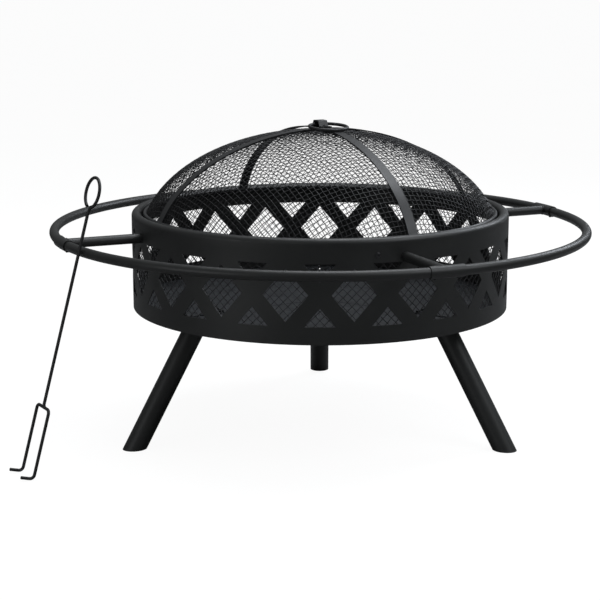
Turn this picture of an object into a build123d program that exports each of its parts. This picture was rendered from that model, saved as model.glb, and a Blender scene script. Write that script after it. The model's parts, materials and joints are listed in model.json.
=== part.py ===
"""Fire pit: a pierced steel drum on three splayed legs, a guard ring on four arms, a domed mesh
spark screen with a lifting ring, and a two-pronged poker that leans on the guard ring.

Millimetres, +Z up. The origin is on the drum's axis at ground level. Azimuths are in degrees,
counted from +X towards +Y; the front of the pit faces -Y."""

import os
from math import acos, cos, degrees, pi, radians, sin, sqrt

from build123d import *

# Drum
DRUM_R = 380.0  # outside of the wall
SHEET = 1.5  # wall sheet
DRUM_BOTTOM = 250.0
RIM_TOP = 445.0
BEAD_R = 9.5  # half-round rolled rim
FLANGE_IN = 362.0  # inner edge of the flange that the floor stands on

# Pierced band of crosses
CROSSES = 19
CROSS_Z = 341.5  # height of the crossings
BAND_HALF = 58.0  # half the height of the pierced band
STRIP_SLOPE = 1.16  # rise over run of each diagonal strip
STRIP_WIDTH = 41.0  # measured level, along the wall
FIRST_CROSS = 270.0  # one crossing faces the front
CUT_DEPTH = 20.0  # of every cutter that bores or pierces a wall, centred on it

# Mesh liner inside the wall
LINER_R = 376.5
LINER_THICK = 2.0
LINER_TOP = 400.5

# Floor
FLOOR_R = 375.0
FLOOR_THICK = 2.0
FLOOR_GAP = 2.5  # open seam between two sectors
FLOOR_SCREWS = 12
FLOOR_SCREW_R = 368.5
FLOOR_SCREW_START = 15.0
SECTOR_HALF = 60.0  # half the angle of a sector; a seam lies over each leg

# Legs
LEG_AZIMUTHS = {"rear": 90.0, "front_left": 210.0, "front_right": 330.0}
LEG_R = 21.0
LEG_WALL = 1.5
FOOT_R = 417.0  # the leg's axis meets the ground here
HIP_R = 270.0  # and meets the bottom of the drum here
LEG_PLATE = (126.0, 50.0, 4.0)
LEG_PLATE_CORNER = 8.0
SEAM_PLATE = (106.0, 36.0, 2.0)
SEAM_PLATE_CORNER = 4.0
LEG_BOLT_OUT = 40.0  # along the radius, from the hip
LEG_BOLT_SIDE = 11.0  # to each side of the seam
CAP_FLANGE = 2.0
CAP_PLUG = 24.0

# Guard ring and its arms
RING_R = 533.5
RING_Z = 408.0
TUBE_R = 9.5
TUBE_WALL = 1.5
ARM_AZIMUTHS = {"right": 24.2, "rear": 114.2, "left": 204.2, "front": 294.2}
SLEEVE_R = 11.4
SLEEVE_HALF_ANGLE = 3.6
SEGMENT_GAP_ANGLE = 0.4
RING_SCREW_ANGLE = 2.4
RING_SCREW_PROUD = 2.0
ARM_INSERT = 14.0
ARM_BOLT_LENGTH = 18.0

# Rests that carry the spark screen
REST_OFFSET = -8.3  # each rest stands this far from its arm
REST_SCREW_Z = 414.0
REST_TONGUE = 9.0  # from the screw down to the end of the tab
REST_WIDTH = 24.0
REST_THICK = 2.0
REST_INNER_R = 344.0

# Spark screen
DOME_RX = 364.0
DOME_RZ = 224.0
DOME_CENTRE_Z = 379.4
DOME_THICK = 1.8
DOME_FOOT = 441.6  # lower edge of the mesh, on the hoop
HOOP_R = 353.0
HOOP_Z = 438.5
HOOP_WIRE = 4.0
RIB_AZIMUTH = 29.0  # the lower bar; the upper bar crosses it at a right angle
RIB_WIDTH = 20.0
RIB_THICK = 2.5
RIB_CLEAR = 0.2

# Handle of the spark screen
STRAP_TOP = 622.0
STRAP_THICK = 2.5
STRAP_REACH = 30.0  # end of each foot of the strap
STRAP_FOOT = 14.0  # where each foot turns up
STRAP_HALF_TOP = 9.0
STRAP_BEND = 2.0
STRAP_BOLT = 22.0
HINGE_BACK = 4.0  # the ring's wire lies this far behind the top centre
HINGE_Z = 614.0
LIFT_RING_R = 37.75
LIFT_WIRE_R = 3.25
LIFT_TILT = 4.5  # the ring lies down towards the front, by this much below level

# Poker
POKER_ROD_R = 3.0
POKER_FOOT = Vector(-539.6, -378.7, 1.9)  # midway between the two bends near the ground
POKER_AXIS = Vector(0.2315, 0.1328, 0.9637)
FORK_ACROSS = Vector(0.533, -0.846, 0.0)  # lies in the fork's flat face
FORK_HEIGHT = 130.0
FORK_HALF = 27.4
FORK_BEND = 8.0
HOOK_LENGTH = 25.0
EYE_CENTRE = 535.7
EYE_R = 28.0
NECK_R = 15.0  # the rod sways out by this much before it turns into the eye

# Small hardware
CLEARANCE = 0.3
SLIP = 0.1  # gap of a close fit
M6_R = 3.0
M6_HEAD_R = 5.5
M6_HEAD = 4.0
M6_THIN = 3.0  # a thin nut, or the low head of a handle bolt
M6_BUTTON = 2.0  # a button head
M6_TAIL = 2.0  # thread that shows past a nut
NUT_GAP = 1.0  # washer's room between the mesh and a nut
M8_R = 4.0
M8_HEAD_R = 7.0
M8_HEAD = 5.0

FLOOR_BOTTOM = DRUM_BOTTOM + SHEET
FLOOR_TOP = FLOOR_BOTTOM + FLOOR_THICK
HIP_Z = FLOOR_BOTTOM - LEG_PLATE[2]
DOME_TOP = DOME_CENTRE_Z + DOME_RZ
RIB_STEP = RIB_CLEAR + RIB_THICK
UPPER_RIB_TOP = DOME_TOP + 2 * RIB_STEP
FORK_FACE = FORK_ACROSS.cross(POKER_AXIS)
FORK_PLANE = Plane(origin=POKER_FOOT, x_dir=POKER_AXIS.cross(FORK_FACE), z_dir=FORK_FACE)

os.makedirs("parts", exist_ok=True)


def keep(piece, name):
    """Name a finished piece and write it out."""
    piece.part.label = name
    export_step(piece.part, f"parts/{name}.step")


def spoke(azimuth, radius, z=0.0):
    """The point at this azimuth, radius and height."""
    return Vector(radius * cos(radians(azimuth)), radius * sin(radians(azimuth)), z)


def upright(azimuth):
    """The vertical plane through the axis: its x runs outwards, its y runs up."""
    return Plane(origin=(0, 0, 0), x_dir=spoke(azimuth, 1), z_dir=spoke(azimuth - 90, 1))


def facing(azimuth, radius, z):
    """The vertical plane that faces outwards at this azimuth: its y runs up."""
    return Plane(origin=spoke(azimuth, radius, z), x_dir=spoke(azimuth + 90, 1), z_dir=spoke(azimuth, 1))


def level(azimuth, radius, z):
    """The level plane at this spot: its x runs outwards."""
    return Plane(origin=spoke(azimuth, radius, z), x_dir=spoke(azimuth, 1), z_dir=(0, 0, 1))


# ---------------------------------------------------------------- drum

pitch_angle = 360.0 / CROSSES
pitch = 2 * pi * DRUM_R / CROSSES
strip_half = STRIP_WIDTH / 2
diamond_half = pitch / 2 - strip_half
triangle_tip = strip_half * STRIP_SLOPE
triangle_half = (BAND_HALF - triangle_tip) / STRIP_SLOPE
bead_r = DRUM_R - BEAD_R
bead_z = RIM_TOP - BEAD_R

with BuildPart() as drum_wall:
    with BuildSketch(Plane.XZ):
        with BuildLine():
            Polyline(
                (FLANGE_IN, DRUM_BOTTOM + SHEET),
                (FLANGE_IN, DRUM_BOTTOM),
                (DRUM_R, DRUM_BOTTOM),
                (DRUM_R, bead_z),
            )
            CenterArc((bead_r, bead_z), BEAD_R, 0, 180)
            Line((bead_r - BEAD_R, bead_z), (bead_r - BEAD_R + SHEET, bead_z))
            CenterArc((bead_r, bead_z), BEAD_R - SHEET, 0, 180)
            Polyline(
                (DRUM_R - SHEET, bead_z),
                (DRUM_R - SHEET, DRUM_BOTTOM + SHEET),
                (FLANGE_IN, DRUM_BOTTOM + SHEET),
            )
        make_face()
    revolve(axis=Axis.Z)
    for cross in range(CROSSES):
        at_cross = FIRST_CROSS + cross * pitch_angle
        with BuildSketch(facing(at_cross, DRUM_R - CUT_DEPTH / 2, CROSS_Z)):
            for side in (1, -1):
                Polygon(
                    (0, side * triangle_tip),
                    (triangle_half, side * BAND_HALF),
                    (-triangle_half, side * BAND_HALF),
                    align=None,
                )
        extrude(amount=CUT_DEPTH, mode=Mode.SUBTRACT)
        with BuildSketch(facing(at_cross + pitch_angle / 2, DRUM_R - CUT_DEPTH / 2, CROSS_Z)):
            Polygon(
                (diamond_half, 0),
                (0, diamond_half * STRIP_SLOPE),
                (-diamond_half, 0),
                (0, -diamond_half * STRIP_SLOPE),
                align=None,
            )
        extrude(amount=CUT_DEPTH, mode=Mode.SUBTRACT)
    for azimuth in ARM_AZIMUTHS.values():
        with BuildSketch(facing(azimuth, DRUM_R - CUT_DEPTH / 2, RING_Z)):
            Circle(M8_R + CLEARANCE)
        extrude(amount=CUT_DEPTH, mode=Mode.SUBTRACT)
        with BuildSketch(facing(azimuth + REST_OFFSET, DRUM_R - CUT_DEPTH / 2, REST_SCREW_Z)):
            Circle(M6_R + CLEARANCE)
        extrude(amount=CUT_DEPTH, mode=Mode.SUBTRACT)
    with BuildSketch(Plane.XY.offset(DRUM_BOTTOM)):
        with PolarLocations(FLOOR_SCREW_R, FLOOR_SCREWS, FLOOR_SCREW_START):
            Circle(M6_R + CLEARANCE)
    extrude(amount=SHEET, mode=Mode.SUBTRACT)
keep(drum_wall, "drum_wall")

with BuildPart() as liner_mesh:
    with BuildSketch(Plane.XY.offset(FLOOR_TOP)):
        Circle(LINER_R + LINER_THICK / 2)
        Circle(LINER_R - LINER_THICK / 2, mode=Mode.SUBTRACT)
    extrude(amount=LINER_TOP - FLOOR_TOP)
keep(liner_mesh, "liner_mesh")

# ---------------------------------------------------------------- floor and legs

leg_bolt_spots = [
    (out, side) for out in (-LEG_BOLT_OUT, LEG_BOLT_OUT) for side in (-LEG_BOLT_SIDE, LEG_BOLT_SIDE)
]

for number, seam in enumerate(LEG_AZIMUTHS.values(), 1):
    middle = seam + SECTOR_HALF
    tip = spoke(middle, FLOOR_GAP / 2 / sin(radians(SECTOR_HALF)))
    with BuildPart() as floor_sector:
        with BuildSketch(Plane.XY.offset(FLOOR_BOTTOM)):
            Circle(FLOOR_R)
            Polygon(
                tip,
                tip + spoke(middle - SECTOR_HALF, 2 * FLOOR_R),
                tip + spoke(middle, 2 * FLOOR_R),
                tip + spoke(middle + SECTOR_HALF, 2 * FLOOR_R),
                align=None,
                mode=Mode.INTERSECT,
            )
            with PolarLocations(FLOOR_SCREW_R, FLOOR_SCREWS, FLOOR_SCREW_START):
                Circle(M6_R + CLEARANCE, mode=Mode.SUBTRACT)
        extrude(amount=FLOOR_THICK)
        for azimuth in LEG_AZIMUTHS.values():
            with BuildSketch(level(azimuth, HIP_R, FLOOR_BOTTOM)):
                with Locations(*leg_bolt_spots):
                    Circle(M6_R + CLEARANCE)
            extrude(amount=FLOOR_THICK, mode=Mode.SUBTRACT)
    keep(floor_sector, f"floor_sector_{number}")

for side, azimuth in LEG_AZIMUTHS.items():
    foot = spoke(azimuth, FOOT_R)
    hip = spoke(azimuth, HIP_R, DRUM_BOTTOM)
    leg_plane = Plane(origin=foot, x_dir=spoke(azimuth + 90, 1), z_dir=hip - foot)
    leg_length = (hip - foot).length

    with BuildPart() as leg:
        with BuildSketch(leg_plane.offset(-2 * LEG_R)):
            Circle(LEG_R)
            Circle(LEG_R - LEG_WALL, mode=Mode.SUBTRACT)
        extrude(amount=leg_length + 4 * LEG_R)
        split(bisect_by=Plane.XY.offset(HIP_Z), keep=Keep.BOTTOM)
        split(bisect_by=Plane.XY.offset(CAP_FLANGE), keep=Keep.TOP)
    keep(leg, f"leg_{side}")

    with BuildPart() as foot_cap:
        with BuildSketch(leg_plane.offset(-2 * LEG_R)):
            Circle(LEG_R)
        extrude(amount=4 * LEG_R)
        split(bisect_by=Plane.XY.offset(CAP_FLANGE), keep=Keep.BOTTOM)
        with BuildSketch(leg_plane.offset(-LEG_R)):
            Circle(LEG_R - LEG_WALL - CLEARANCE)
        extrude(amount=LEG_R + CAP_PLUG)
        split(bisect_by=Plane.XY, keep=Keep.TOP)
    keep(foot_cap, f"foot_cap_{side}")

    with BuildPart() as leg_plate:
        with BuildSketch(level(azimuth, HIP_R, HIP_Z)):
            RectangleRounded(LEG_PLATE[0], LEG_PLATE[1], LEG_PLATE_CORNER)
            with Locations(*leg_bolt_spots):
                Circle(M6_R + CLEARANCE, mode=Mode.SUBTRACT)
        extrude(amount=LEG_PLATE[2])
    keep(leg_plate, f"leg_plate_{side}")

    with BuildPart() as seam_plate:
        with BuildSketch(level(azimuth, HIP_R, FLOOR_TOP)):
            RectangleRounded(SEAM_PLATE[0], SEAM_PLATE[1], SEAM_PLATE_CORNER)
            with Locations(*leg_bolt_spots):
                Circle(M6_R + CLEARANCE, mode=Mode.SUBTRACT)
        extrude(amount=SEAM_PLATE[2])
    keep(seam_plate, f"seam_plate_{side}")

bolt_seat = FLOOR_TOP + SEAM_PLATE[2]
bolt_end = HIP_Z - M6_HEAD - M6_TAIL
with BuildPart() as leg_bolts:
    for azimuth in LEG_AZIMUTHS.values():
        with BuildSketch(level(azimuth, HIP_R, bolt_seat)):
            with Locations(*leg_bolt_spots):
                RegularPolygon(M6_HEAD_R, 6)
        extrude(amount=M6_HEAD)
        with BuildSketch(level(azimuth, HIP_R, bolt_end)):
            with Locations(*leg_bolt_spots):
                Circle(M6_R)
        extrude(amount=bolt_seat - bolt_end)
keep(leg_bolts, "leg_bolts")

with BuildPart() as leg_nuts:
    for azimuth in LEG_AZIMUTHS.values():
        with BuildSketch(level(azimuth, HIP_R, HIP_Z - M6_HEAD)):
            with Locations(*leg_bolt_spots):
                RegularPolygon(M6_HEAD_R, 6)
                Circle(M6_R + SLIP, mode=Mode.SUBTRACT)
        extrude(amount=M6_HEAD)
keep(leg_nuts, "leg_nuts")

with BuildPart() as floor_screws:
    with BuildSketch(Plane.XY.offset(DRUM_BOTTOM - M6_BUTTON)):
        with PolarLocations(FLOOR_SCREW_R, FLOOR_SCREWS, FLOOR_SCREW_START):
            Circle(M6_HEAD_R)
    extrude(amount=M6_BUTTON)
    with BuildSketch(Plane.XY.offset(DRUM_BOTTOM)):
        with PolarLocations(FLOOR_SCREW_R, FLOOR_SCREWS, FLOOR_SCREW_START):
            Circle(M6_R)
    extrude(amount=FLOOR_TOP - DRUM_BOTTOM + M6_HEAD)
keep(floor_screws, "floor_screws")

with BuildPart() as floor_nuts:
    with BuildSketch(Plane.XY.offset(FLOOR_TOP)):
        with PolarLocations(FLOOR_SCREW_R, FLOOR_SCREWS, FLOOR_SCREW_START):
            RegularPolygon(M6_HEAD_R, 6)
            Circle(M6_R + SLIP, mode=Mode.SUBTRACT)
    extrude(amount=M6_THIN)
keep(floor_nuts, "floor_nuts")

# ---------------------------------------------------------------- guard ring

for side, azimuth in ARM_AZIMUTHS.items():
    with BuildPart() as ring_segment:
        with BuildSketch(upright(azimuth + SEGMENT_GAP_ANGLE / 2)):
            with Locations((RING_R, RING_Z)):
                Circle(TUBE_R)
                Circle(TUBE_R - TUBE_WALL, mode=Mode.SUBTRACT)
        revolve(axis=Axis.Z, revolution_arc=90 - SEGMENT_GAP_ANGLE)
    keep(ring_segment, f"ring_segment_{side}")

    with BuildPart() as ring_sleeve:
        with BuildSketch(upright(azimuth - SLEEVE_HALF_ANGLE)):
            with Locations((RING_R, RING_Z)):
                Circle(SLEEVE_R)
                Circle(TUBE_R + SLIP, mode=Mode.SUBTRACT)
        revolve(axis=Axis.Z, revolution_arc=2 * SLEEVE_HALF_ANGLE)
    keep(ring_sleeve, f"ring_sleeve_{side}")

    with BuildPart() as arm:
        with BuildSketch(facing(azimuth, DRUM_R + SLIP, RING_Z)):
            Circle(TUBE_R)
            Circle(TUBE_R - TUBE_WALL, mode=Mode.SUBTRACT)
        extrude(amount=RING_R - DRUM_R - SLEEVE_R / 2)
        with BuildSketch(upright(azimuth - SLEEVE_HALF_ANGLE)):
            with Locations((RING_R, RING_Z)):
                Circle(SLEEVE_R + SLIP)
        revolve(axis=Axis.Z, revolution_arc=2 * SLEEVE_HALF_ANGLE, mode=Mode.SUBTRACT)
    keep(arm, f"arm_{side}")

with BuildPart() as ring_screws:
    for azimuth in ARM_AZIMUTHS.values():
        for offset in (-RING_SCREW_ANGLE, RING_SCREW_ANGLE):
            with BuildSketch(level(azimuth + offset, RING_R, RING_Z - SLEEVE_R - RING_SCREW_PROUD)):
                Circle(M6_R)
            extrude(amount=RING_SCREW_PROUD)
keep(ring_screws, "ring_screws")

with BuildPart() as arm_bolts:
    for azimuth in ARM_AZIMUTHS.values():
        with BuildSketch(facing(azimuth, DRUM_R - SHEET - M8_HEAD - CLEARANCE, RING_Z)):
            RegularPolygon(M8_HEAD_R, 6)
        extrude(amount=M8_HEAD)
        with BuildSketch(facing(azimuth, DRUM_R - SHEET - CLEARANCE, RING_Z)):
            Circle(M8_R)
        extrude(amount=ARM_BOLT_LENGTH)
keep(arm_bolts, "arm_bolts")

with BuildPart() as arm_inserts:
    for azimuth in ARM_AZIMUTHS.values():
        with BuildSketch(facing(azimuth, DRUM_R + CLEARANCE, RING_Z)):
            Circle(TUBE_R - TUBE_WALL - SLIP)
            Circle(M8_R + SLIP, mode=Mode.SUBTRACT)
        extrude(amount=ARM_INSERT)
keep(arm_inserts, "arm_inserts")

# ---------------------------------------------------------------- rests for the spark screen

rest_top = HOOP_Z - HOOP_WIRE - CLEARANCE
rest_face = DRUM_R - SHEET - CLEARANCE  # back of the rest, against the wall
rest_low = REST_SCREW_Z - REST_TONGUE
rest_nut = rest_face - REST_THICK - M6_HEAD  # inner end of the nut and of its screw

for side, azimuth in ARM_AZIMUTHS.items():
    with BuildPart() as lid_rest:
        with BuildSketch(upright(azimuth + REST_OFFSET)):
            with BuildLine():
                Polyline(
                    (rest_face, rest_low),
                    (rest_face, rest_top),
                    (REST_INNER_R, rest_top),
                    (REST_INNER_R, rest_top - REST_THICK),
                    (rest_face - REST_THICK, rest_top - REST_THICK),
                    (rest_face - REST_THICK, rest_low),
                    close=True,
                )
            make_face()
        extrude(amount=REST_WIDTH / 2, both=True)
        with BuildSketch(facing(azimuth + REST_OFFSET, rest_face - CUT_DEPTH / 2, REST_SCREW_Z)):
            Circle(M6_R + CLEARANCE)
        extrude(amount=CUT_DEPTH, mode=Mode.SUBTRACT)
    keep(lid_rest, f"lid_rest_{side}")

with BuildPart() as lid_rest_screws:
    for azimuth in ARM_AZIMUTHS.values():
        with BuildSketch(facing(azimuth + REST_OFFSET, DRUM_R + SLIP, REST_SCREW_Z)):
            Circle(M6_HEAD_R)
        extrude(amount=M6_BUTTON)
        with BuildSketch(facing(azimuth + REST_OFFSET, rest_nut, REST_SCREW_Z)):
            Circle(M6_R)
        extrude(amount=DRUM_R + SLIP - rest_nut)
keep(lid_rest_screws, "lid_rest_screws")

with BuildPart() as lid_rest_nuts:
    for azimuth in ARM_AZIMUTHS.values():
        with BuildSketch(facing(azimuth + REST_OFFSET, rest_nut, REST_SCREW_Z)):
            RegularPolygon(M6_HEAD_R, 6)
            Circle(M6_R + SLIP, mode=Mode.SUBTRACT)
        extrude(amount=M6_HEAD)
keep(lid_rest_nuts, "lid_rest_nuts")

# ---------------------------------------------------------------- spark screen

strap_bolt_spots = [spoke(RIB_AZIMUTH - 90, reach, STRAP_TOP) for reach in (-STRAP_BOLT, STRAP_BOLT)]


def dome_band(gap, thick, low, lift=0.0):
    """Draw the arch of this thickness that stands this gap outside the dome's outline, above the
    height low, in the sketch at hand. Lift raises its crown alone."""
    with Locations((0, DOME_CENTRE_Z)):
        Ellipse(DOME_RX + gap + thick, DOME_RZ + gap + thick + lift)
        Ellipse(DOME_RX + gap, DOME_RZ + gap + lift, mode=Mode.SUBTRACT)
    with Locations((0, low)):
        Rectangle(3 * DOME_RX, 2 * DOME_RZ, align=(Align.CENTER, Align.MIN), mode=Mode.INTERSECT)


def bolt_holes():
    """Bore the part at hand for the two bolts of the handle strap."""
    with Locations(*strap_bolt_spots):
        Hole(M6_R + CLEARANCE, depth=2 * (STRAP_TOP - DOME_TOP))


with BuildPart() as screen_dome:
    with BuildSketch(Plane.XZ):
        dome_band(-DOME_THICK, DOME_THICK, DOME_FOOT)
        Rectangle(2 * DOME_RX, 4 * DOME_RX, align=(Align.MIN, Align.CENTER), mode=Mode.INTERSECT)
    revolve(axis=Axis.Z)
    bolt_holes()
keep(screen_dome, "screen_dome")

with BuildPart() as screen_hoop:
    with BuildSketch(Plane.XZ):
        with Locations((HOOP_R, HOOP_Z)):
            Circle(HOOP_WIRE)
    revolve(axis=Axis.Z)
keep(screen_hoop, "screen_hoop")

with BuildPart() as screen_rib_lower:
    with BuildSketch(upright(RIB_AZIMUTH)):
        dome_band(RIB_CLEAR, RIB_THICK, HOOP_Z + HOOP_WIRE)
    extrude(amount=RIB_WIDTH / 2, both=True)
keep(screen_rib_lower, "screen_rib_lower")

with BuildPart() as screen_rib_upper:
    with BuildSketch(upright(RIB_AZIMUTH - 90)):
        dome_band(RIB_CLEAR, RIB_THICK, HOOP_Z + HOOP_WIRE, lift=RIB_STEP)
    extrude(amount=RIB_WIDTH / 2, both=True)
    bolt_holes()
keep(screen_rib_upper, "screen_rib_upper")

strap_mid = STRAP_THICK / 2
with BuildPart() as handle_strap:
    with BuildSketch(upright(RIB_AZIMUTH - 90)):
        with BuildLine():
            FilletPolyline(
                (-STRAP_REACH, UPPER_RIB_TOP + strap_mid),
                (-STRAP_FOOT, UPPER_RIB_TOP + strap_mid),
                (-STRAP_HALF_TOP, STRAP_TOP - strap_mid),
                (STRAP_HALF_TOP, STRAP_TOP - strap_mid),
                (STRAP_FOOT, UPPER_RIB_TOP + strap_mid),
                (STRAP_REACH, UPPER_RIB_TOP + strap_mid),
                radius=STRAP_BEND,
            )
        trace(line_width=STRAP_THICK)
    extrude(amount=RIB_WIDTH / 2, both=True)
    bolt_holes()
keep(handle_strap, "handle_strap")

strap_foot_top = UPPER_RIB_TOP + STRAP_THICK
nut_top = DOME_TOP - DOME_THICK - NUT_GAP
bolt_end = nut_top - M6_HEAD - M6_TAIL / 2
with BuildPart() as handle_bolts:
    for spot in strap_bolt_spots:
        with BuildSketch(Plane(origin=(spot.X, spot.Y, strap_foot_top))):
            Circle(M6_HEAD_R)
        extrude(amount=M6_THIN)
        with BuildSketch(Plane(origin=(spot.X, spot.Y, bolt_end))):
            Circle(M6_R)
        extrude(amount=strap_foot_top - bolt_end)
keep(handle_bolts, "handle_bolts")

with BuildPart() as handle_nuts:
    for spot in strap_bolt_spots:
        with BuildSketch(Plane(origin=(spot.X, spot.Y, nut_top - M6_HEAD))):
            RegularPolygon(M6_HEAD_R, 6)
            Circle(M6_R + SLIP, mode=Mode.SUBTRACT)
        extrude(amount=M6_HEAD)
keep(handle_nuts, "handle_nuts")

hinge = spoke(RIB_AZIMUTH - 90, -HINGE_BACK, HINGE_Z)
hinge_axis = spoke(RIB_AZIMUTH, 1)
lie = spoke(RIB_AZIMUTH - 90, cos(radians(LIFT_TILT)), -sin(radians(LIFT_TILT)))
ring_plane = Plane(origin=hinge + lie * LIFT_RING_R, x_dir=lie, z_dir=lie.cross(hinge_axis))
with BuildPart() as lifting_ring:
    with BuildLine(ring_plane) as ring_line:
        CenterArc((0, 0), LIFT_RING_R, 0, 360)
    with BuildSketch(Plane(origin=ring_line.line @ 0, z_dir=ring_line.line % 0)):
        Circle(LIFT_WIRE_R)
    sweep()
keep(lifting_ring, "lifting_ring")

# ---------------------------------------------------------------- poker

neck_drop = sqrt((EYE_R + NECK_R) ** 2 - NECK_R**2)
neck_turn = degrees(acos(NECK_R / (EYE_R + NECK_R)))
eye_turn = 180 + 2 * neck_turn  # the eye ends as far round on the other side as it began
rod_bottom = FORK_HEIGHT + POKER_ROD_R

with BuildPart() as poker_rod:
    with BuildLine(FORK_PLANE) as rod_line:
        straight = Line((0, rod_bottom), (0, EYE_CENTRE - neck_drop))
        neck = JernArc(straight @ 1, straight % 1, NECK_R, -neck_turn)
        JernArc(neck @ 1, neck % 1, EYE_R, eye_turn)
    with BuildSketch(Plane(origin=rod_line.line @ 0, z_dir=rod_line.line % 0)):
        Circle(POKER_ROD_R)
    sweep()
keep(poker_rod, "poker_rod")

with BuildPart() as poker_fork:
    with BuildLine(FORK_PLANE) as fork_line:
        FilletPolyline(
            (-FORK_HALF, 0, HOOK_LENGTH),
            (-FORK_HALF, 0, 0),
            (-FORK_HALF, FORK_HEIGHT, 0),
            (FORK_HALF, FORK_HEIGHT, 0),
            (FORK_HALF, 0, 0),
            (FORK_HALF, 0, HOOK_LENGTH),
            radius=FORK_BEND,
        )
    with BuildSketch(Plane(origin=fork_line.line @ 0, z_dir=fork_line.line % 0)):
        Circle(POKER_ROD_R)
    sweep()
keep(poker_fork, "poker_fork")
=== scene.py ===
"""Fire pit: woven wire, turned fasteners, weld beads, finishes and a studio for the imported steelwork.

Metres and +Z up, in the frame's own axes. Azimuths are in degrees, counted from +X towards +Y, and
the front of the pit faces -Y. Fastener outlines are in millimetres, their places in metres."""

import json
from math import atan2, cos, degrees, pi, radians, sin, sqrt, tan

import bmesh
import bpy
import numpy as np
from mathutils import Matrix, Vector


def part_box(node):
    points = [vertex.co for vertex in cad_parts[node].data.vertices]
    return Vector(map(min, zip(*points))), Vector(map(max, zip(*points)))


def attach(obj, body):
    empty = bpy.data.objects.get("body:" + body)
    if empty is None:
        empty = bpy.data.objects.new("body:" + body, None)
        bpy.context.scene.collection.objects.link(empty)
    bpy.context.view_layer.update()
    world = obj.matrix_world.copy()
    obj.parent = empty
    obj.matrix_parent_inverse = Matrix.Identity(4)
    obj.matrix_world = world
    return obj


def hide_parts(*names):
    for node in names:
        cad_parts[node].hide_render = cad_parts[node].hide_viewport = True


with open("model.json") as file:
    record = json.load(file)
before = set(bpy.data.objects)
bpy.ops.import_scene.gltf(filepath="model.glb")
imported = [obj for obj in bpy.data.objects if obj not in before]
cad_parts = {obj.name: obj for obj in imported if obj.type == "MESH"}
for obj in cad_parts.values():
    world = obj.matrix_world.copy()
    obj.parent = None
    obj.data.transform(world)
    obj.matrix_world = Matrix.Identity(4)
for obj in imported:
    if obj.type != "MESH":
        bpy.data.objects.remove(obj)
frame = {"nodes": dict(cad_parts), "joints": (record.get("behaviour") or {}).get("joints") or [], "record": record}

for starter in ("Cube", "Light", "Camera"):  # what an empty Blender session begins with
    if starter in bpy.data.objects:
        bpy.data.objects.remove(bpy.data.objects[starter])
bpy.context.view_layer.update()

MM = 0.001
UP, DOWN = Vector((0, 0, 1)), Vector((0, 0, -1))
NEAR = 0.1 * MM  # points this close to the end of a part belong to its end

# Sheets and gaps
SHEET = 1.5 * MM  # wall of the drum
CLEARANCE = 0.3 * MM
SLIP = 0.1 * MM
REST_THICK = 2.0 * MM

# Woven wire
WIRE = 1.38 * MM
CRIMP = WIRE / 2  # each wire swings this far to each side of the weave's middle
CRIMP_FLAT = 0.15  # half the length of the flat on each crossing, as a share of a cell
SCREEN_CELL = 10.5 * MM
SCREEN_SINK = 1.4 * MM  # of the weave's middle below the dome's outer face
BAR_AZIMUTH = 29.0  # the lower bar of the screen, and one set of its wires
DOME_HEIGHT = 224.0 * MM  # of the whole half ellipse that the dome is cut from
DOME_STEPS = 2000  # along half of that ellipse, where its length is added up
HOOP_LAP = 1.0 * MM  # the wires end this far above the hoop's middle
LINER_WIRES = 142  # in each direction, at 45 degrees
LINER_SINK = 1.0 * MM  # of the weave's middle below the liner's outer face

# Outlines of fasteners, millimetres
STEPS = 24  # sides of every turned fastener, a multiple of six
M6 = 3.0  # radius of the thread
M6_FLATS = 4.763  # middle to flat
M6_HEAD = 4.0
M6_THIN = 3.0  # a thin nut, or the low head of a handle bolt
M6_KEY = 2.0  # middle to flat of its socket
M8 = 4.0  # radius of the thread
M8_FLATS = 6.062
M8_HEAD = 5.0
M8_SHANK = 18.0
BUTTON_R = 5.5
BUTTON_HEAD = 2.0
RING_SCREW_HEAD_R = 3.0
RING_SCREW_R = 1.8
RING_SCREW_SHANK = 3.0
RING_SCREW_KEY = 1.0
PITCH = 1.0  # of the threads
CHAMFER = tan(radians(30))
SHARP = radians(32)  # edges that turn by more than this stay crisp

# Places of fasteners
LEG_BOLT_OUT = 40.0 * MM
LEG_BOLT_SIDE = 11.0 * MM
HANDLE_BOLT_OUT = 22.0 * MM
RING_SCREW_ANGLE = 2.4
FLOOR_SCREWS = 12
FLOOR_SCREW_START = 15.0
FLOOR_SCREW_R = 368.5 * MM

# Tubes, bars and weld beads
RING_R = 533.5 * MM
TUBE_R = 9.5 * MM
SLEEVE_R = 11.4 * MM
LEG_R = 21.0 * MM
FOOT_R = 417.0 * MM
HIP_R = 270.0 * MM
BAR_HALF = 10.0 * MM
BAR_THICK = 2.5 * MM
POKER_R = 3.0 * MM
BEAD = 1.2 * MM
LEG_BEAD = 1.5 * BEAD
RIPPLE = 0.12  # how much a bead swells and narrows
LEG_RIPPLE = 0.1
ARM_BEAD_POINTS = 45  # round a closed bead, a multiple of three, so that its ripple closes too
LEG_BEAD_POINTS = 90
POKER_BEAD_POINTS = 30
BAR_BEAD_POINTS = 13

# Colours of paint and dust
PAINT = (0.0135, 0.0142, 0.0138)
SCREEN_PAINT = (0.013, 0.0135, 0.0145)
WIRE_PAINT = (0.014, 0.014, 0.015)
POKER_PAINT = (0.010, 0.010, 0.010)
DUST_COLOUR = (0.085, 0.083, 0.078, 1.0)

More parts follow.
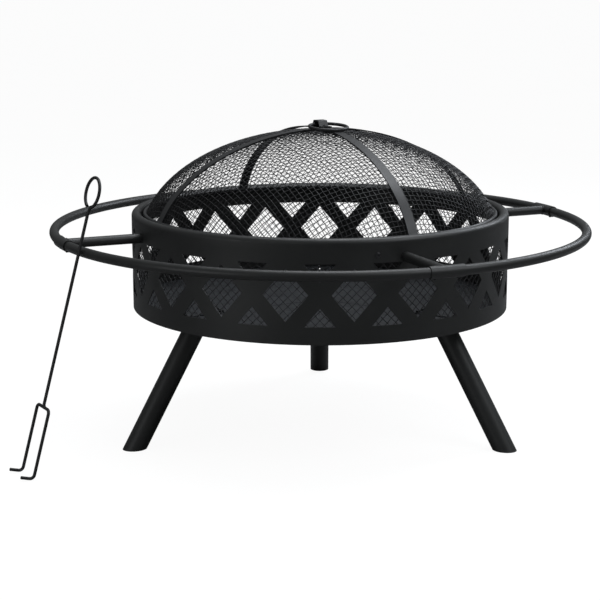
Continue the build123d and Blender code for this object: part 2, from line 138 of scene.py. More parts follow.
# Studio
FLOOR_HALF = 60.0
FLOOR_GLOW = 0.94
FLOOR_SEEN = ((0.12, 0.12, 0.12, 1.0), (0.13, 0.13, 0.13, 1.0))
FLOOR_RETURN = (0.25, 0.25, 0.25, 1.0)
ROOM_LOW = 0.12
ROOM_HIGH = 0.32
ROOM_TINT = (0.95, 0.98, 1.0, 1.0)
WHITE = (1.0, 1.0, 1.0, 1.0)
SOFTBOXES = {  # place, width, watts, height that it is aimed at over the middle of the pit, tint
    "key_softbox": ((2.2, -1.5, 2.7), 1.8, 34.0, 0.35, (0.93, 0.96, 1.0)),
    "top_softbox": ((0.4, 0.6, 2.9), 1.8, 45.0, 0.4, (0.93, 0.96, 1.0)),
    "back_softbox": ((2.0, 1.7, 2.1), 1.2, 30.0, 0.4, (0.88, 0.93, 1.0)),
    "fill_softbox": ((-2.4, -2.2, 0.6), 1.6, 12.0, 0.3, (0.96, 0.98, 1.0)),
}
CAMERA_LENS = 93.41
CAMERA_SPOT = Vector((-0.0027, -3.1235, 0.9205))
CAMERA_AIM = Vector((-0.0405, 0.0, 0.2532))

SIDES = ("right", "rear", "left", "front")
LEGS = ("rear", "front_left", "front_right")


# ---------------------------------------------------------------- places


def spoke(azimuth, radius, z=0.0):
    """The point at this azimuth, radius and height."""
    return Vector((radius * cos(radians(azimuth)), radius * sin(radians(azimuth)), z))


def middle(node):
    """The middle of a CAD node's box."""
    low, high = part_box(node)
    return (low + high) / 2


def azimuth_of(node):
    """The azimuth at which a CAD node stands."""
    spot = middle(node)
    return degrees(atan2(spot.y, spot.x))


drum_low, drum_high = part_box("drum_wall")
liner_low, liner_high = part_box("liner_mesh")
dome_low, dome_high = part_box("screen_dome")
hoop_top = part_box("screen_hoop")[1].z
floor_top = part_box("floor_sector_1")[1].z
ring_mid = middle("ring_segment_right").z
arm_azimuths = {side: azimuth_of(f"arm_{side}") for side in SIDES}
rest_azimuths = {side: azimuth_of(f"lid_rest_{side}") for side in SIDES}
leg_azimuths = {side: azimuth_of(f"leg_plate_{side}") for side in LEGS}


def seat(spot, axis, side=UP):
    """The matrix that seats a fastener on this spot: its z runs along axis, its x towards side."""
    up = axis.normalized()
    across = (side - up * side.dot(up)).normalized()
    turn = Matrix((across, up.cross(across), up)).transposed().to_4x4()
    return Matrix.Translation(spot) @ turn


# ---------------------------------------------------------------- materials


def add(tree, kind, inputs=None, **settings):
    """A node of this kind with its settings. Each input is a value, or a socket to link to it."""
    node = tree.nodes.new(kind)
    for name, value in settings.items():
        setattr(node, name, value)
    for name, value in (inputs or {}).items():
        if isinstance(value, bpy.types.NodeSocket):
            tree.links.new(value, node.inputs[name])
        else:
            node.inputs[name].default_value = value
    return node


def effect(name, inputs, outputs):
    """A node group with these inputs and outputs, its tree, and the sockets inside it."""
    tree = bpy.data.node_groups.new(name, "ShaderNodeTree")
    for label, kind in inputs.items():
        tree.interface.new_socket(label, in_out="INPUT", socket_type=kind)
    for label, kind in outputs.items():
        tree.interface.new_socket(label, in_out="OUTPUT", socket_type=kind)
    return tree, tree.nodes.new("NodeGroupInput").outputs, tree.nodes.new("NodeGroupOutput").inputs


def noise(tree, place, scale, detail, roughness=0.5):
    """A noise texture's value, 0 to 1."""
    inputs = {"Vector": place, "Scale": scale, "Detail": detail, "Roughness": roughness}
    return add(tree, "ShaderNodeTexNoise", inputs).outputs["Fac"]


def ranged(tree, value, from_min, from_max, to_min, to_max):
    """The value mapped from one range to another, and kept inside it."""
    inputs = {
        "Value": value,
        "From Min": from_min,
        "From Max": from_max,
        "To Min": to_min,
        "To Max": to_max,
    }
    return add(tree, "ShaderNodeMapRange", inputs).outputs["Result"]


def maths(tree, operation, first, second):
    """The result of one sum on two values."""
    node = add(tree, "ShaderNodeMath", {0: first, 1: second}, operation=operation)
    return node.outputs["Value"]


def blend(tree, factor, first, second):
    """One colour mixed into another. A mix node has a row of sockets for each kind of value: 0 is
    the factor, 6 and 7 are the colours that go in, and 2 is the one that comes out."""
    inputs = {0: factor, 6: first, 7: second}
    return add(tree, "ShaderNodeMix", inputs, data_type="RGBA").outputs[2]


def make_paint_grain():
    """Powder coat: the orange peel of the cured film, finer pimples in it, and slow mottling."""
    tree, given, wanted = effect(
        "paint_grain",
        {"Place": "NodeSocketVector", "Grain": "NodeSocketFloat"},
        {"Height": "NodeSocketFloat", "Mottle": "NodeSocketFloat"},
    )
    peel = noise(tree, given["Place"], given["Grain"], 1.0)
    finer = maths(tree, "MULTIPLY", given["Grain"], 3.1)
    pimples = ranged(tree, noise(tree, given["Place"], finer, 2.0), 0.45, 0.75, 0.0, 0.5)
    tree.links.new(maths(tree, "ADD", peel, pimples), wanted["Height"])
    slow = noise(tree, given["Place"], 9.0, 4.0, 0.6)
    tree.links.new(ranged(tree, slow, 0.3, 0.7, 0.0, 1.0), wanted["Mottle"])
    return tree


def make_settled_dust():
    """Dust that has settled on what faces up: thickest on level faces, patchy, none on the sides."""
    tree, given, wanted = effect(
        "settled_dust",
        {"Place": "NodeSocketVector", "Amount": "NodeSocketFloat"},
        {"Mask": "NodeSocketFloat"},
    )
    facing = add(tree, "ShaderNodeTexCoord").outputs["Normal"]
    upness = add(tree, "ShaderNodeSeparateXYZ", {"Vector": facing}).outputs["Z"]
    level = ranged(tree, upness, 0.35, 1.0, 0.0, 1.0)
    patches = ranged(tree, noise(tree, given["Place"], 38.0, 7.0, 0.65), 0.35, 0.75, 0.2, 1.0)
    dust = maths(tree, "MULTIPLY", maths(tree, "MULTIPLY", level, patches), given["Amount"])
    tree.links.new(dust, wanted["Mask"])
    return tree


def make_fine_scratches():
    """Hair scratches and rubbed patches, as on bright or blackened screws."""
    tree, given, wanted = effect(
        "fine_scratches",
        {"Place": "NodeSocketVector", "Density": "NodeSocketFloat"},
        {"Scratch": "NodeSocketFloat", "Rub": "NodeSocketFloat"},
    )
    stretched = add(tree, "ShaderNodeMapping", {"Vector": given["Place"], "Scale": (1.0, 9.0, 4.0)})
    streaks = noise(tree, stretched.outputs["Vector"], given["Density"], 5.0, 0.7)
    tree.links.new(ranged(tree, streaks, 0.6, 0.72, 0.0, 1.0), wanted["Scratch"])
    patches = noise(tree, given["Place"], 160.0, 3.0)
    tree.links.new(ranged(tree, patches, 0.4, 0.7, 0.0, 1.0), wanted["Rub"])
    return tree


PAINT_GRAIN = make_paint_grain()
SETTLED_DUST = make_settled_dust()
FINE_SCRATCHES = make_fine_scratches()


def new_material(name):
    """An empty material, its tree, its place coordinates and its shader."""
    material = bpy.data.materials.new(name)
    material.use_nodes = True
    tree = material.node_tree
    tree.nodes.clear()
    shader = tree.nodes.new("ShaderNodeBsdfPrincipled")
    output = tree.nodes.new("ShaderNodeOutputMaterial")
    tree.links.new(shader.outputs["BSDF"], output.inputs["Surface"])
    place = tree.nodes.new("ShaderNodeTexCoord").outputs["Object"]
    return material, tree, place, shader


def use(tree, group, inputs):
    """One use of an effect, as its outputs."""
    return add(tree, "ShaderNodeGroup", inputs, node_tree=group).outputs


def roughen(tree, shader, height, strength, depth):
    """Bump the shader's normal by this height."""
    inputs = {"Height": height, "Strength": strength, "Distance": depth}
    tree.links.new(add(tree, "ShaderNodeBump", inputs).outputs["Normal"], shader.inputs["Normal"])


def painted(name, colour, roughness, grain=850.0, relief=0.35, dust=0.05):
    """Powder-coated or sprayed steel: mottled film, its own grain, and a little dust on top."""
    material, tree, place, shader = new_material(name)
    grain_at = use(tree, PAINT_GRAIN, {"Place": place, "Grain": grain})
    dust_at = use(tree, SETTLED_DUST, {"Place": place, "Amount": dust})
    low = tuple(channel * 0.85 for channel in colour) + (1.0,)
    high = tuple(channel * 1.2 for channel in colour) + (1.0,)
    film = blend(tree, grain_at["Mottle"], low, high)
    tree.links.new(blend(tree, dust_at["Mask"], film, DUST_COLOUR), shader.inputs["Base Color"])
    film_rough = ranged(tree, grain_at["Mottle"], 0.0, 1.0, roughness - 0.04, roughness + 0.05)
    dusty_rough = maths(tree, "ADD", film_rough, maths(tree, "MULTIPLY", dust_at["Mask"], 0.35))
    tree.links.new(dusty_rough, shader.inputs["Roughness"])
    roughen(tree, shader, grain_at["Height"], relief, 0.12 * MM)
    return material


def make_floor_steel():
    """Bare floor sheet with rolling streaks and darker clouds of scale."""
    material, tree, place, shader = new_material("floor_steel")
    clouds = ranged(tree, noise(tree, place, 16.0, 6.0, 0.6), 0.35, 0.7, 0.0, 1.0)
    scratch_at = use(tree, FINE_SCRATCHES, {"Place": place, "Density": 60.0})
    dust_at = use(tree, SETTLED_DUST, {"Place": place, "Amount": 0.1})
    mill_scale, steel = (0.014, 0.016, 0.019, 1.0), (0.030, 0.033, 0.038, 1.0)
    bright = (0.12, 0.12, 0.13, 1.0)
    sheet = blend(tree, clouds, mill_scale, steel)
    worn = blend(tree, maths(tree, "MULTIPLY", scratch_at["Scratch"], 0.3), sheet, bright)
    tree.links.new(blend(tree, dust_at["Mask"], worn, DUST_COLOUR), shader.inputs["Base Color"])
    tree.links.new(ranged(tree, clouds, 0.0, 1.0, 0.6, 0.45), shader.inputs["Roughness"])
    shader.inputs["Metallic"].default_value = 0.2
    roughen(tree, shader, scratch_at["Rub"], 0.15, 0.1 * MM)
    return material


def make_hardware():
    """Blackened screws and nuts, rubbed a little brighter in places."""
    material, tree, place, shader = new_material("hardware")
    scratch_at = use(tree, FINE_SCRATCHES, {"Place": place, "Density": 500.0})
    black, rubbed = (0.028, 0.028, 0.030, 1.0), (0.055, 0.055, 0.058, 1.0)
    bright = (0.16, 0.16, 0.16, 1.0)
    skin = blend(tree, scratch_at["Rub"], black, rubbed)
    scratched = maths(tree, "MULTIPLY", scratch_at["Scratch"], 0.25)
    tree.links.new(blend(tree, scratched, skin, bright), shader.inputs["Base Color"])
    tree.links.new(ranged(tree, scratch_at["Rub"], 0.0, 1.0, 0.42, 0.3), shader.inputs["Roughness"])
    shader.inputs["Metallic"].default_value = 0.7
    roughen(tree, shader, scratch_at["Rub"], 0.2, 0.05 * MM)
    return material


def make_foot_plastic():
    """Moulded black plastic with a fine spark-eroded grain."""
    material, tree, place, shader = new_material("foot_plastic")
    grain = noise(tree, place, 1900.0, 2.0)
    scuffs = ranged(tree, noise(tree, place, 90.0, 5.0, 0.7), 0.5, 0.75, 0.0, 1.0)
    black, scuffed = (0.013, 0.013, 0.013, 1.0), (0.05, 0.05, 0.048, 1.0)
    tree.links.new(blend(tree, scuffs, black, scuffed), shader.inputs["Base Color"])
    tree.links.new(ranged(tree, scuffs, 0.0, 1.0, 0.5, 0.7), shader.inputs["Roughness"])
    roughen(tree, shader, grain, 0.3, 0.08 * MM)
    return material


finishes = {
    "drum_paint": painted("drum_paint", PAINT, 0.46),
    "ring_paint": painted("ring_paint", PAINT, 0.42, grain=1000.0),
    "screen_frame": painted("screen_paint", SCREEN_PAINT, 0.4, grain=1100.0),
    "mesh_wire": painted("wire_paint", WIRE_PAINT, 0.45, grain=2600.0, relief=0.2, dust=0.02),
    "poker_steel": painted("poker_paint", POKER_PAINT, 0.5, grain=1500.0, dust=0.03),
    "floor_steel": make_floor_steel(),
    "hardware": make_hardware(),
    "foot_plastic": make_foot_plastic(),
}
for part in frame["record"]["subparts"]:
    for skin in frame["nodes"][part["node"]].material_slots:
        skin.material = finishes[part["material_slot"]]


# ---------------------------------------------------------------- making pieces


def settle(piece, body, slot, *stands_for):
    """Give a piece its finish and its body, and hide the CAD nodes it stands for."""
    bpy.context.scene.collection.objects.link(piece)
    piece.data.materials.append(finishes[slot])
    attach(piece, body)
    if stands_for:
        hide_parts(*stands_for)
    return piece


def wires(name, lines, radius, body, slot, *stands_for, ripple=0.0, closed=False, roundness=1):
    """Round wires or weld beads, one along each line of points. Ripple swells every third point and
    narrows the others. Roundness is 1 for a section of 6 sides, and 2 for one of 8."""
    data = bpy.data.curves.new(name, "CURVE")
    data.dimensions = "3D"
    data.bevel_depth = radius
    data.bevel_resolution = roundness
    data.use_fill_caps = True
    for line in lines:
        spline = data.splines.new("POLY")
        spline.points.add(len(line) - 1)
        places = np.column_stack((np.array(line), np.ones(len(line))))
        spline.points.foreach_set("co", places.ravel())
        swell = 1 + ripple * np.cos(np.arange(len(line)) * 2 * pi / 3)
        spline.points.foreach_set("radius", swell)
        spline.use_cyclic_u = closed
    return settle(bpy.data.objects.new(name, data), body, slot, *stands_for)


def set_ring(verts, ring):
    """Place a loop of vertices on one ring of a fastener: (radius, height), or for a hexagon
    (middle to flat, height, slant), where slant raises each point by its distance past the flat."""
    radius, height = ring[:2]
    for vert in verts:
        turn = atan2(vert.co.y, vert.co.x)
        reach = radius / cos(turn % (pi / 3) - pi / 6) if len(ring) == 3 else radius
        rise = ring[2] * (reach - radius) if len(ring) == 3 else 0.0
        vert.co = Vector((reach * cos(turn), reach * sin(turn), height + rise))


def ringed(rings, bored=False):
    """A fastener skinned over its rings, from one end to the other. A bored one closes on itself."""
    bm = bmesh.new()
    verts = bmesh.ops.create_circle(bm, segments=STEPS, radius=1.0)["verts"]
    first = edges = list(bm.edges)
    set_ring(verts, rings[0])
    for ring in rings[1:]:
        grown = bmesh.ops.extrude_edge_only(bm, edges=edges)["geom"]
        verts = [item for item in grown if isinstance(item, bmesh.types.BMVert)]
        edges = [
            item
            for item in grown
            if isinstance(item, bmesh.types.BMEdge) and all(vert in verts for vert in item.verts)
        ]
        set_ring(verts, ring)
    if bored:
        bmesh.ops.bridge_loops(bm, edges=first + edges)
    else:
        for loop in (first, edges):
            bmesh.ops.contextual_create(bm, geom=loop)
    bmesh.ops.recalc_face_normals(bm, faces=bm.faces)
    bmesh.ops.scale(bm, vec=(MM, MM, MM), verts=bm.verts)
    return bm


def fasteners(name, shape, seats, body, *stands_for):
    """One piece made of a fastener's shape on each of these seats."""
    one = bpy.data.meshes.new(name)
    shape.to_mesh(one)
    shape.free()
    bm = bmesh.new()
    for place in seats:
        before = set(bm.verts)
        bm.from_mesh(one)
        bmesh.ops.transform(bm, matrix=place, verts=[vert for vert in bm.verts if vert not in before])
    mesh = bpy.data.meshes.new(name)
    bm.to_mesh(mesh)
    bm.free()
    bpy.data.meshes.remove(one)
    mesh.shade_smooth()
    mesh.set_sharp_from_angle(angle=SHARP)
    return settle(bpy.data.objects.new(name, mesh), body, "hardware", *stands_for)


# ---------------------------------------------------------------- fastener outlines


def thread(radius, low, high):
    """Rings of a threaded shank between two heights, its end chamfered. Crests and roots take
    turns, as rings and not as a helix."""
    end, root = radius * 0.75, radius * 0.86
    rings = [(end, low)]
    for turn in range(int((high - low) / PITCH)):
        rings += [(radius, low + (turn + 0.45) * PITCH), (root, low + (turn + 0.95) * PITCH)]
    return rings + [(radius, high)]


def crown(radius, low, high, inner, steps=5):
    """Rings of a domed head, from its rim up to the edge of its socket."""
    slopes = [radians(90 * step / steps) for step in range(steps + 1)]
    return [(inner + (radius - inner) * cos(slope), low + (high - low) * sin(slope)) for slope in slopes]


def button_screw(head_r, head, shank_r, length, key):
    """A domed screw with a hexagon socket of this half width, seated at height 0."""
    seat_r, rim, land, mouth = head_r * 0.97, head * 0.12, key * 1.3, key * 1.22
    lip, floor = head * 0.94, head * 0.25
    return ringed(
        thread(shank_r, -length, 0.0)
        + [(seat_r, 0.0)]
        + crown(head_r, rim, head, land)
        + [(mouth, head), (key, lip, 0.0), (key, floor, 0.0)]
    )


def hex_bolt(flats, head, shank_r, length):
    """A hexagon bolt with a chamfered head, dished in the middle, seated at height 0."""
    circle = flats * 0.95
    edge = head - (flats - circle) * CHAMFER
    washer_face, dish = 0.15, 0.25
    return ringed(
        thread(shank_r, -length, 0.0)
        + [(circle, 0.0), (flats, washer_face, 0.0), (flats, edge, -CHAMFER), (circle, head)]
        + [(circle * 0.72, head), (circle * 0.7, head - dish)]
    )


def hex_nut(flats, height, bore_r):
    """A hexagon nut with both faces chamfered, seated at height 0."""
    circle = flats * 0.95
    cut = (flats - circle) * CHAMFER
    mouth, countersink = bore_r * 1.12, 0.4
    return ringed(
        [(bore_r, countersink), (mouth, 0.0), (circle, 0.0), (flats, cut, CHAMFER)]
        + [(flats, height - cut, -CHAMFER), (circle, height), (mouth, height)]
        + [(bore_r, height - countersink)],
        bored=True,
    )


# ---------------------------------------------------------------- fasteners in place


def rest_fasteners():
    """Screws through the drum wall and their nuts inside, which hold the screen's rests."""
    low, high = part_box("lid_rest_screws")
    height = (low.z + high.z) / 2
    outside = drum_high.x + SLIP
    inside = drum_high.x - SHEET - CLEARANCE - REST_THICK - M6_HEAD * MM
    screw_seats = [seat(spoke(az, outside, height), spoke(az, 1)) for az in rest_azimuths.values()]
    screw = button_screw(BUTTON_R, BUTTON_HEAD, M6, (outside - inside) / MM, M6_KEY)
    fasteners("rest_screws", screw, screw_seats, "pit", "lid_rest_screws")
    nut_seats = [seat(spoke(az, inside, height), spoke(az, 1)) for az in rest_azimuths.values()]
    fasteners("rest_nuts", hex_nut(M6_FLATS, M6_HEAD, M6), nut_seats, "pit", "lid_rest_nuts")


def arm_fasteners():
    """Hexagon bolts inside the wall, one into each arm."""
    low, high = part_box("arm_bolts")
    height = (low.z + high.z) / 2
    bearing = drum_high.x - SHEET - CLEARANCE
    seats = [seat(spoke(az, bearing, height), spoke(az, -1)) for az in arm_azimuths.values()]
    fasteners("arm_bolts_turned", hex_bolt(M8_FLATS, M8_HEAD, M8, M8_SHANK), seats, "pit", "arm_bolts")


def ring_fasteners():
    """Small screws under each sleeve of the guard ring."""
    low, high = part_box("ring_screws")
    seats = [
        seat(spoke(az + side * RING_SCREW_ANGLE, RING_R, high.z), DOWN, spoke(az, 1))
        for az in arm_azimuths.values()
        for side in (-1, 1)
    ]
    head = (high.z - low.z) / MM
    screw = button_screw(RING_SCREW_HEAD_R, head, RING_SCREW_R, RING_SCREW_SHANK, RING_SCREW_KEY)
    fasteners("ring_screws_turned", screw, seats, "pit", "ring_screws")


def floor_fasteners():
    """Screws up through the drum's flange, and their nuts on the floor."""
    azimuths = [FLOOR_SCREW_START + 360 * n / FLOOR_SCREWS for n in range(FLOOR_SCREWS)]
    screw_seats = [seat(spoke(az, FLOOR_SCREW_R, drum_low.z), DOWN, spoke(az, 1)) for az in azimuths]
    shank = (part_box("floor_screws")[1].z - drum_low.z) / MM
    screw = button_screw(BUTTON_R, BUTTON_HEAD, M6, shank, M6_KEY)
    fasteners("floor_screws_turned", screw, screw_seats, "pit", "floor_screws")
    nut_seats = [seat(spoke(az, FLOOR_SCREW_R, floor_top), UP, spoke(az, 1)) for az in azimuths]
    fasteners("floor_nuts_turned", hex_nut(M6_FLATS, M6_THIN, M6), nut_seats, "pit", "floor_nuts")


def leg_fasteners():
    """Four bolts and nuts at the top of each leg, through both plates and the floor."""
    bolts_low, bolts_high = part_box("leg_bolts")
    nuts_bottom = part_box("leg_nuts")[0].z
    bearing = bolts_high.z - M6_HEAD * MM
    bolt_seats, nut_seats = [], []
    for side, azimuth in leg_azimuths.items():
        hip = middle(f"leg_plate_{side}")
        outward, sideways = spoke(azimuth, 1), spoke(azimuth + 90, 1)
        for out in (-LEG_BOLT_OUT, LEG_BOLT_OUT):
            for aside in (-LEG_BOLT_SIDE, LEG_BOLT_SIDE):
                spot = hip + outward * out + sideways * aside
                bolt_seats.append(seat(Vector((spot.x, spot.y, bearing)), UP, outward))
                nut_seats.append(seat(Vector((spot.x, spot.y, nuts_bottom)), UP, sideways))
    bolt = hex_bolt(M6_FLATS, M6_HEAD, M6, (bearing - bolts_low.z) / MM)
    fasteners("leg_bolts_turned", bolt, bolt_seats, "pit", "leg_bolts")
    fasteners("leg_nuts_turned", hex_nut(M6_FLATS, M6_HEAD, M6), nut_seats, "pit", "leg_nuts")


def handle_fasteners():
    """Two low domed bolts through the strap, with nuts under the mesh."""
    bolts_low, bolts_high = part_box("handle_bolts")
    nuts_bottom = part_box("handle_nuts")[0].z
    bearing = bolts_high.z - M6_THIN * MM
    spots = [spoke(BAR_AZIMUTH - 90, reach) for reach in (-HANDLE_BOLT_OUT, HANDLE_BOLT_OUT)]
    bolt_seats = [seat(spot + UP * bearing, UP, spoke(BAR_AZIMUTH, 1)) for spot in spots]
    nut_seats = [seat(spot + UP * nuts_bottom, UP, spoke(BAR_AZIMUTH, 1)) for spot in spots]
    bolt = button_screw(BUTTON_R, M6_THIN, M6, (bearing - bolts_low.z) / MM, M6_KEY)
    fasteners("handle_bolts_turned", bolt, bolt_seats, "screen", "handle_bolts")
    fasteners("handle_nuts_turned", hex_nut(M6_FLATS, M6_HEAD, M6), nut_seats, "screen", "handle_nuts")


# ---------------------------------------------------------------- woven wire


def crossings(low, high, cell, offset=0.0):
    """Where the weave crosses between two ends: pairs of points with their index, each pair the
    ends of one flat on a crossing."""
    first = int(np.ceil((low - offset) / cell + CRIMP_FLAT))
    last = int(np.floor((high - offset) / cell - CRIMP_FLAT))
    index = np.repeat(np.arange(first, last + 1), 2)
    side = np.tile((-CRIMP_FLAT, CRIMP_FLAT), last + 1 - first)
    return offset + (index + side) * cell, index


def screen_wires():
    """The dome's woven mesh: a flat sheet pressed over the form, so that it keeps its length along
    every meridian and its cells lean over towards the foot."""
    crown_z = dome_high.z - SCREEN_SINK
    centre_z = dome_high.z - DOME_HEIGHT
    rise = crown_z - centre_z
    foot_share = (dome_low.z - centre_z) / DOME_HEIGHT
    half_width = dome_high.x / sqrt(1 - foot_share**2) - SCREEN_SINK
    tilt = np.linspace(0, pi / 2, DOME_STEPS)
    step = np.hypot(half_width * np.cos(tilt), rise * np.sin(tilt)) * (tilt[1] - tilt[0])
    arc = np.cumsum(step) - step / 2 - step[0] / 2  # length of the meridian from the top to each tilt
    edge_tilt = np.arccos((middle("screen_hoop").z + HOOP_LAP - centre_z) / rise)
    edge = np.interp(edge_tilt, tilt, arc)

    def drape(u, v, lift):
        """Points of the flat sheet, laid on the dome and lifted off it."""
        lean = np.interp(np.hypot(u, v), arc, tilt)
        turn = np.arctan2(v, u) + radians(BAR_AZIMUTH)
        out, up = rise * np.sin(lean), half_width * np.cos(lean)
        long = np.hypot(out, up)
        r = half_width * np.sin(lean) + lift * out / long
        z = centre_z + rise * np.cos(lean) + lift * up / long
        return np.column_stack((r * np.cos(turn), r * np.sin(turn), z))

    count = int(edge / SCREEN_CELL) + 1
    for name, swap in (("screen_wires_along", False), ("screen_wires_across", True)):
        lines = []
        for row in range(-count, count):
            fixed = (row + 0.5) * SCREEN_CELL
            if abs(fixed) > edge - SCREEN_CELL / 4:  # too short a wire to be left in the hoop
                continue
            end = sqrt(edge**2 - fixed**2)
            along, index = crossings(-end, end, SCREEN_CELL, SCREEN_CELL / 2)
            lift = CRIMP * (-1.0) ** (index + row + swap)
            along = np.concatenate(((-end,), along, (end,)))
            lift = np.concatenate(((0,), lift, (0,)))
            across = np.full_like(along, fixed)
            lines.append(drape(across, along, lift) if swap else drape(along, across, lift))
        wires(name, lines, WIRE / 2, "screen", "mesh_wire", "screen_dome")


def liner_wires():
    """The woven liner inside the wall, its wires at 45 degrees."""
    radius = liner_high.x - LINER_SINK
    low, high = liner_low.z, liner_high.z
    cell = pi * radius / LINER_WIRES
    height, index = crossings(low, high, cell, low)
    height = np.concatenate(((low,), height, (high,)))
    lift = np.concatenate(((0,), CRIMP * (-1.0) ** index, (0,)))
    for name, way in (("liner_wires_rising", 1), ("liner_wires_falling", -1)):
        r = radius + way * lift
        lines = []
        for wire in range(LINER_WIRES):
            turn = 2 * pi * wire / LINER_WIRES + way * (height - low) / radius
            lines.append(np.column_stack((r * np.cos(turn), r * np.sin(turn), height)))
        wires(name, lines, WIRE / 2, "pit", "mesh_wire", "liner_mesh")


# ---------------------------------------------------------------- weld beads


def turn_round(points):
    """The angles of this many points, evenly round a full turn."""
    return np.linspace(0, 2 * pi, points + 1)[:-1]


def bar_foot(node, azimuth):
    """How far out the outer face of a bar stands at its foot."""
    outward = spoke(azimuth, 1)
    points = [vert.co for vert in frame["nodes"][node].data.vertices]
    foot = min(point.z for point in points)
    return max(point.dot(outward) for point in points if point.z < foot + NEAR)


def arm_welds():
    """The bead round each arm where it is fitted to its sleeve."""
    around = turn_round(ARM_BEAD_POINTS)
    aside, up = TUBE_R * np.cos(around), TUBE_R * np.sin(around)
    out = np.sqrt(RING_R**2 - aside**2) - np.sqrt(SLEEVE_R**2 - up**2) - BEAD / 3
    lines = []
    for azimuth in arm_azimuths.values():
        outward, sideways = spoke(azimuth, 1), spoke(azimuth + 90, 1)
        flat = np.outer(out, outward) + np.outer(aside, sideways)
        lines.append(flat + np.outer(up + ring_mid, UP))
    looks = {"ripple": RIPPLE, "closed": True, "roundness": 2}
    wires("arm_weld_beads", lines, BEAD, "pit", "ring_paint", **looks)


def leg_welds():
    """The bead round the top of each leg, under its plate."""
    around = turn_round(LEG_BEAD_POINTS)
    lines = []
    for side, azimuth in leg_azimuths.items():
        plate_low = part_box(f"leg_plate_{side}")[0].z
        slope = (FOOT_R - HIP_R) / drum_low.z
        axis_r = HIP_R + slope * (drum_low.z - plate_low)
        outward, sideways = spoke(azimuth, 1), spoke(azimuth + 90, 1)
        out = axis_r + LEG_R * sqrt(1 + slope**2) * np.cos(around)
        flat = np.outer(out, outward) + np.outer(LEG_R * np.sin(around), sideways)
        lines.append(flat + np.outer(np.full_like(around, plate_low - BEAD / 3), UP))
    looks = {"ripple": LEG_RIPPLE, "closed": True, "roundness": 2}
    wires("leg_weld_beads", lines, LEG_BEAD, "pit", "drum_paint", **looks)


def screen_welds():
    """Beads on the hoop, along both faces of each end of the two bars."""
    lines = []
    height = hoop_top - BEAD / 4
    for node, azimuth in (("screen_rib_lower", BAR_AZIMUTH), ("screen_rib_upper", BAR_AZIMUTH - 90)):
        outer = bar_foot(node, azimuth)
        for turn in (azimuth, azimuth + 180):
            aside = np.linspace(-BAR_HALF, BAR_HALF, BAR_BEAD_POINTS)
            across = np.outer(aside, spoke(turn + 90, 1))
            for reach in (outer + BEAD / 3, outer - BAR_THICK - BEAD / 3):
                lines.append(across + np.array(spoke(turn, reach, height)))
    wires("screen_weld_beads", lines, BEAD, "screen", "screen_frame", ripple=RIPPLE, roundness=2)


def poker_weld():
    """The bead that joins the poker's rod to the top of its fork."""
    rod = np.array([vert.co for vert in frame["nodes"]["poker_rod"].data.vertices])
    lift = next(joint for joint in frame["joints"] if joint["name"] == "poker_lift")
    axis = Vector(lift["axis"]).normalized()
    along = rod @ np.array(axis)
    end = Vector(rod[along < along.min() + NEAR].mean(axis=0))
    place = seat(end, axis)
    around = turn_round(POKER_BEAD_POINTS)
    line = [place @ Vector((POKER_R * cos(a), POKER_R * sin(a), -BEAD / 2)) for a in around]
    looks = {"ripple": RIPPLE, "closed": True, "roundness": 2}
    wires("poker_weld_bead", [line], BEAD, "poker", "poker_steel", **looks)


# ---------------------------------------------------------------- studio


def aimed(name, data, spot, aim):
    """An object that holds this lamp or camera at its spot, turned to its aim."""
    holder = bpy.data.objects.new(name, data)
    holder.location = spot
    holder.rotation_euler = (aim - spot).to_track_quat("-Z", "Y").to_euler()
    bpy.context.scene.collection.objects.link(holder)
    return holder


def make_softboxes():
    """The square softboxes round the pit."""
    for name, (spot, width, watts, aim_height, tint) in SOFTBOXES.items():
        lamp = bpy.data.lights.new(name, "AREA")
        lamp.size = width
        lamp.energy = watts
        lamp.color = tint
        aimed(name, lamp, Vector(spot), UP * aim_height)


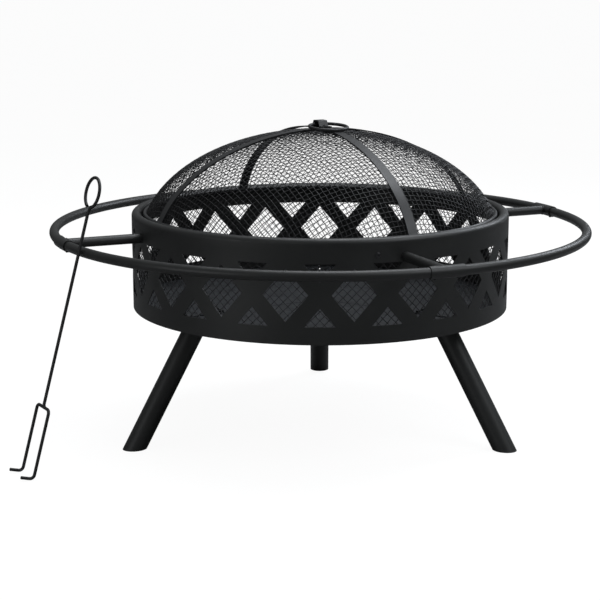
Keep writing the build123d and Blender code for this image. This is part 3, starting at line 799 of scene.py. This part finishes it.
def make_floor():
    """A wide pale floor. Seen directly it is nearly white; the pit itself gets only a dim return."""
    bm = bmesh.new()
    bmesh.ops.create_grid(bm, x_segments=1, y_segments=1, size=FLOOR_HALF)
    mesh = bpy.data.meshes.new("studio_floor")
    bm.to_mesh(mesh)
    bm.free()
    floor = bpy.data.objects.new("studio_floor", mesh)
    bpy.context.scene.collection.objects.link(floor)
    material = bpy.data.materials.new("studio_floor")
    material.use_nodes = True
    tree = material.node_tree
    tree.nodes.clear()
    place = tree.nodes.new("ShaderNodeTexCoord").outputs["Object"]
    clouds = ranged(tree, noise(tree, place, 1.5, 3.0), 0.3, 0.7, 0.0, 1.0)
    seen = blend(tree, clouds, *FLOOR_SEEN)
    direct = add(tree, "ShaderNodeBsdfDiffuse", {"Color": seen}).outputs["BSDF"]
    glow = add(tree, "ShaderNodeEmission", {"Strength": FLOOR_GLOW}).outputs["Emission"]
    white = add(tree, "ShaderNodeAddShader", {0: direct, 1: glow}).outputs["Shader"]
    dim = add(tree, "ShaderNodeBsdfDiffuse", {"Color": FLOOR_RETURN}).outputs["BSDF"]
    straight = tree.nodes.new("ShaderNodeLightPath").outputs["Is Camera Ray"]
    mixed = add(tree, "ShaderNodeMixShader", {0: straight, 1: dim, 2: white}).outputs["Shader"]
    add(tree, "ShaderNodeOutputMaterial", {"Surface": mixed})
    mesh.materials.append(material)


def make_world():
    """A white room as seen straight, and a soft dome of light, brightest overhead, on the pit."""
    world = bpy.data.worlds.new("studio")
    bpy.context.scene.world = world
    world.use_nodes = True
    tree = world.node_tree
    tree.nodes.clear()
    place = tree.nodes.new("ShaderNodeTexCoord").outputs["Generated"]
    height = add(tree, "ShaderNodeSeparateXYZ", {"Vector": place}).outputs["Z"]
    strength = ranged(tree, height, 0.0, 1.0, ROOM_LOW, ROOM_HIGH)
    soft = add(tree, "ShaderNodeBackground", {"Color": ROOM_TINT, "Strength": strength})
    white = add(tree, "ShaderNodeBackground", {"Color": WHITE, "Strength": 1.0})
    straight = tree.nodes.new("ShaderNodeLightPath").outputs["Is Camera Ray"]
    inputs = {0: straight, 1: soft.outputs["Background"], 2: white.outputs["Background"]}
    mixed = add(tree, "ShaderNodeMixShader", inputs).outputs["Shader"]
    add(tree, "ShaderNodeOutputWorld", {"Surface": mixed})


def make_camera():
    """The camera in front of the pit, at about waist height, its horizon level."""
    camera = bpy.data.cameras.new("camera")
    camera.lens = CAMERA_LENS
    camera.clip_end = 2 * FLOOR_HALF
    bpy.context.scene.camera = aimed("camera", camera, CAMERA_SPOT, CAMERA_AIM)


# ---------------------------------------------------------------- the whole pit

rest_fasteners()
arm_fasteners()
ring_fasteners()
floor_fasteners()
leg_fasteners()
handle_fasteners()
screen_wires()
liner_wires()
arm_welds()
leg_welds()
screen_welds()
poker_weld()

bpy.context.scene.view_settings.view_transform = "Standard"
make_floor()
make_world()
make_camera()
make_softboxes()
